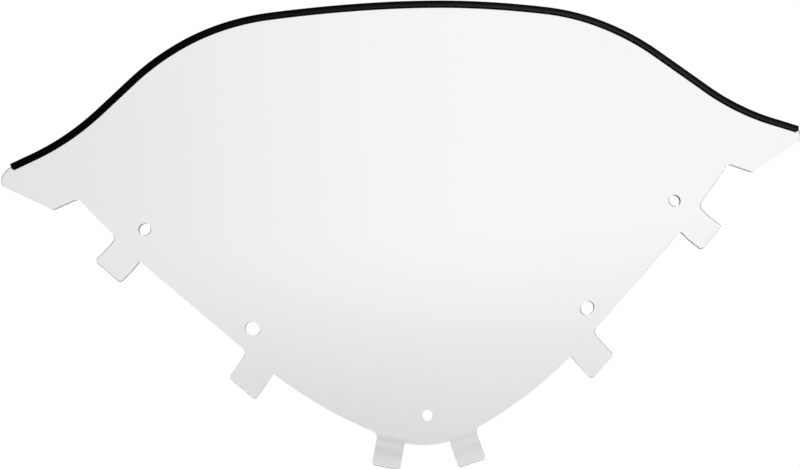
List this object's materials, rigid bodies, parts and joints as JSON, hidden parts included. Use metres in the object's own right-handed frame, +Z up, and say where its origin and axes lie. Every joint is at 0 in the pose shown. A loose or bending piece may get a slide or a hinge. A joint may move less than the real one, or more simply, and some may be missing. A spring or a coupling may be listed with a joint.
{
  "type": "vehicle windshield",
  "caption": "Clear, gently curved windshield sheet with a domed top, swept side wings, bent plug-in hood tabs, fastener holes along its lower edge and a black trim on its upper edge.",
  "frame": {"origin": "centre of the centre fastener hole, on the outer face of the sheet", "axes": "+X along the width, to the right for someone who faces the outer, wind side; -Y out of the outer, convex face, towards the wind; +Z up the sheet's centre line towards its crown. Left and right in the names are that person's."},
  "size_m": [0.7657, 0.0397, 0.4341],
  "materials": {
    "screen": "clear polycarbonate sheet, polished faces and routed edges",
    "edge_trim": "black flexible vinyl, satin, finely grained",
    "trim_adhesive": "dark elastic adhesive bead, hidden inside the trim"
  },
  "bodies": {
    "root": {"screen": "screen", "edge_trim": "edge_trim", "trim_adhesive": "trim_adhesive"}
  },
  "joints": []
}
